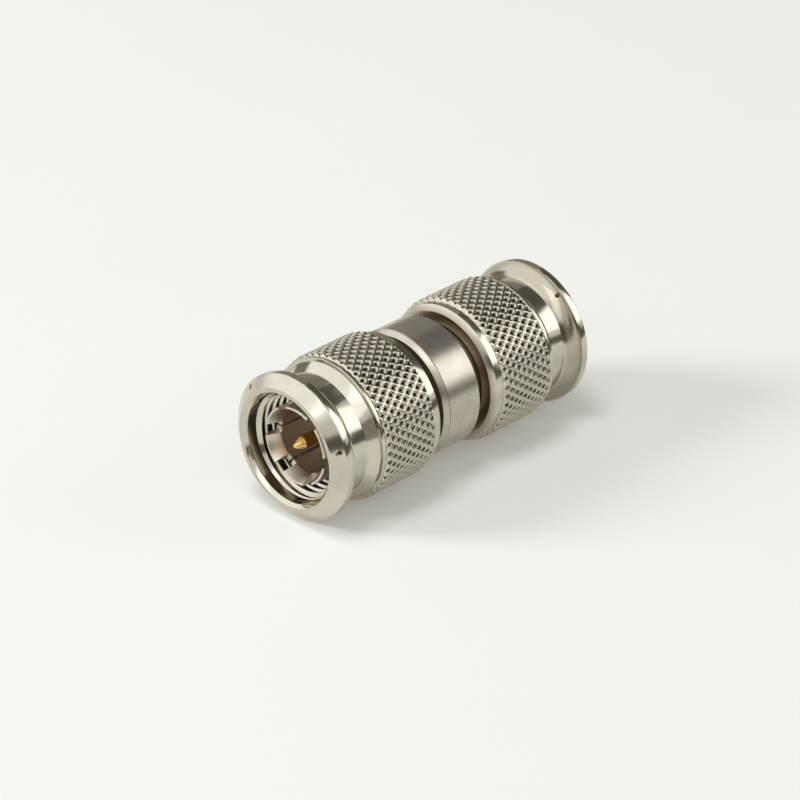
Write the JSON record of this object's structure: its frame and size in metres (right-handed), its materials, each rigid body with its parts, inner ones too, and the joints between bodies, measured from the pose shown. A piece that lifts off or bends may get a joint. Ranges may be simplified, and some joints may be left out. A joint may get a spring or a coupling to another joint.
{
  "type": "tnc coaxial adapter",
  "caption": "Straight coaxial adapter: a tubular body with a plain middle band and a knurled, internally threaded coupling nut turning on each end around slotted contact fingers and a pin.",
  "frame": {"origin": "centre of the lower coupling nut's flat lip, on the floor when the adapter stands on that nut", "axes": "+Z along the common axis from the lower coupling nut to the upper one"},
  "size_m": [0.015, 0.015, 0.0355],
  "materials": {
    "body_metal": "satin passivated",
    "nut_metal": "satin passivated",
    "ring_metal": "plain",
    "gasket_rubber": "matte",
    "contact_metal": "dull plated",
    "bead_plastic": "matte",
    "pin_gold": "gold plated"
  },
  "bodies": {
    "adapter_body": {"main_body": "body_metal", "upper_body": "body_metal", "upper_retaining_ring": "ring_metal", "lower_retaining_ring": "ring_metal", "upper_gasket": "gasket_rubber", "lower_gasket": "gasket_rubber", "upper_outer_contact": "contact_metal", "lower_outer_contact": "contact_metal", "upper_insulator_bead": "bead_plastic", "lower_insulator_bead": "bead_plastic", "centre_contact": "pin_gold"},
    "upper_nut": {"upper_coupling_nut": "nut_metal"},
    "lower_nut": {"lower_coupling_nut": "nut_metal"}
  },
  "joints": [
    {"name": "upper_nut_turn", "type": "hinge", "parent": "adapter_body", "child": "upper_nut", "pos_m": [0, 0, 0.0284], "axis": [0, 0, 1], "continuous": true},
    {"name": "lower_nut_turn", "type": "hinge", "parent": "adapter_body", "child": "lower_nut", "pos_m": [0, 0, 0.0071], "axis": [0, 0, 1], "continuous": true}
  ]
}
